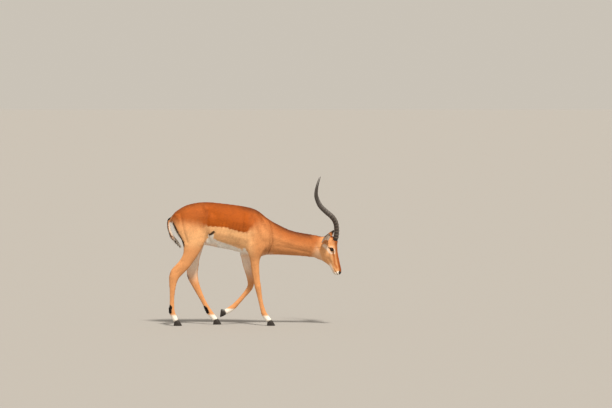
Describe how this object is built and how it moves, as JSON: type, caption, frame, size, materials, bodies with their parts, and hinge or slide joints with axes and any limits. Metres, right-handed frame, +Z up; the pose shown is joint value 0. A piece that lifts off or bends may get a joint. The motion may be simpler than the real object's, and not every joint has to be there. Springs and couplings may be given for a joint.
{
  "type": "impala antelope",
  "caption": "Life-size still model of a walking male impala antelope with its head lowered: long slender legs, lyre-shaped ringed horns and a two-tone short coat.",
  "frame": {"origin": "middle of the model's box, at floor level under the soles", "axes": "+X the way the animal faces, +Y its left side, +Z up"},
  "size_m": [1.3366, 0.3264, 1.1376],
  "materials": {
    "coat": "short sleek hair lying flat, rufous saddle over tan flanks, white belly and black streaks",
    "horn": "ringed keratin, dark grey-brown, rubbed paler and smoother towards the points",
    "hoof": "black keratin with a dull sheen",
    "eye": "wet, very dark brown"
  },
  "bodies": {
    "root": {"head": "coat", "neck": "coat", "trunk": "coat", "tail": "coat", "scrotum": "coat", "ear_right": "coat", "ear_left": "coat", "leg_hind_right_upper": "coat", "leg_hind_right_lower": "coat", "leg_hind_left_upper": "coat", "leg_hind_left_lower": "coat", "leg_fore_right_upper": "coat", "leg_fore_right_lower": "coat", "leg_fore_left_upper": "coat", "leg_fore_left_lower": "coat", "horn_right": "horn", "horn_left": "horn", "hoof_hind_right_outer": "hoof", "hoof_hind_right_inner": "hoof", "hoof_hind_left_outer": "hoof", "hoof_hind_left_inner": "hoof", "hoof_fore_right_outer": "hoof", "hoof_fore_right_inner": "hoof", "hoof_fore_left_outer": "hoof", "hoof_fore_left_inner": "hoof", "eye_right": "eye", "eye_left": "eye"}
  },
  "joints": []
}
